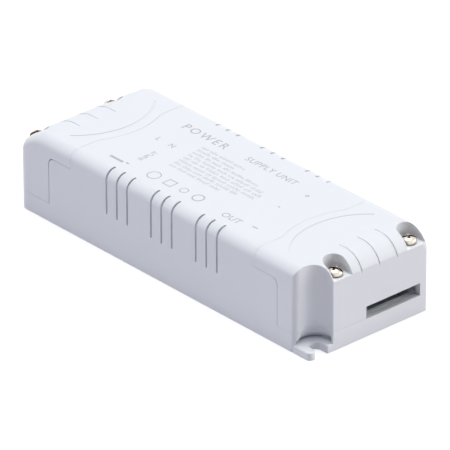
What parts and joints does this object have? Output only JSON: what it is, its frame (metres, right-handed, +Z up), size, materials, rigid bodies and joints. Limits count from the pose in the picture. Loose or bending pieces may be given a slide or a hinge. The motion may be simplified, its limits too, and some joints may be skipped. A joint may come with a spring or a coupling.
{
  "type": "led driver",
  "caption": "Slim plastic LED driver with screwed terminal covers at both ends, side vent slits, cable slots and slotted fixing ears at diagonal corners.",
  "frame": {"origin": "centre of the underside of the case", "axes": "+X along the case to the output end, +Z up from the underside, and the fixing ear at the output end lies on the -Y side"},
  "size_m": [0.113, 0.041, 0.024],
  "materials": {
    "case": "fine satin moulding, cool white",
    "screw": "bright nickel",
    "terminal_metal": "tinned",
    "board": "solder mask",
    "terminal_body": "moulded",
    "black_moulding": "moulded",
    "ferrite": "sintered",
    "copper": "enamelled wire",
    "tape": "polyester tape",
    "aluminium": "rolled",
    "blue_coating": "dipped",
    "sleeve": "shrink sleeve",
    "brown_moulding": "moulded"
  },
  "bodies": {
    "root": {"housing": "case", "output_cover": "case", "input_cover": "case", "base_plate": "case", "cover_screw_1": "screw", "cover_screw_2": "screw", "cover_screw_3": "screw", "cover_screw_4": "screw", "circuit_board": "board", "output_terminal": "terminal_body", "mains_terminal": "terminal_body", "output_clamp_1": "terminal_metal", "output_clamp_2": "terminal_metal", "mains_clamp_1": "terminal_metal", "mains_clamp_2": "terminal_metal", "output_clamp_screw_1": "terminal_metal", "output_clamp_screw_2": "terminal_metal", "mains_clamp_screw_1": "terminal_metal", "mains_clamp_screw_2": "terminal_metal", "transformer_core_1": "ferrite", "transformer_core_2": "ferrite", "transformer_bobbin": "brown_moulding", "transformer_winding": "tape", "choke_core": "ferrite", "choke_winding_1": "copper", "choke_winding_2": "copper", "fuse": "brown_moulding", "varistor": "blue_coating", "x_capacitor": "tape", "bridge_rectifier": "black_moulding", "bulk_capacitor": "sleeve", "switching_transistor": "black_moulding", "primary_heatsink": "aluminium", "controller_chip": "black_moulding", "snubber_resistor": "blue_coating", "output_diode": "black_moulding", "optocoupler": "black_moulding", "y_capacitor": "blue_coating", "inductor_core": "ferrite", "inductor_winding": "copper", "output_capacitor_1": "sleeve", "output_capacitor_2": "sleeve"}
  },
  "joints": []
}
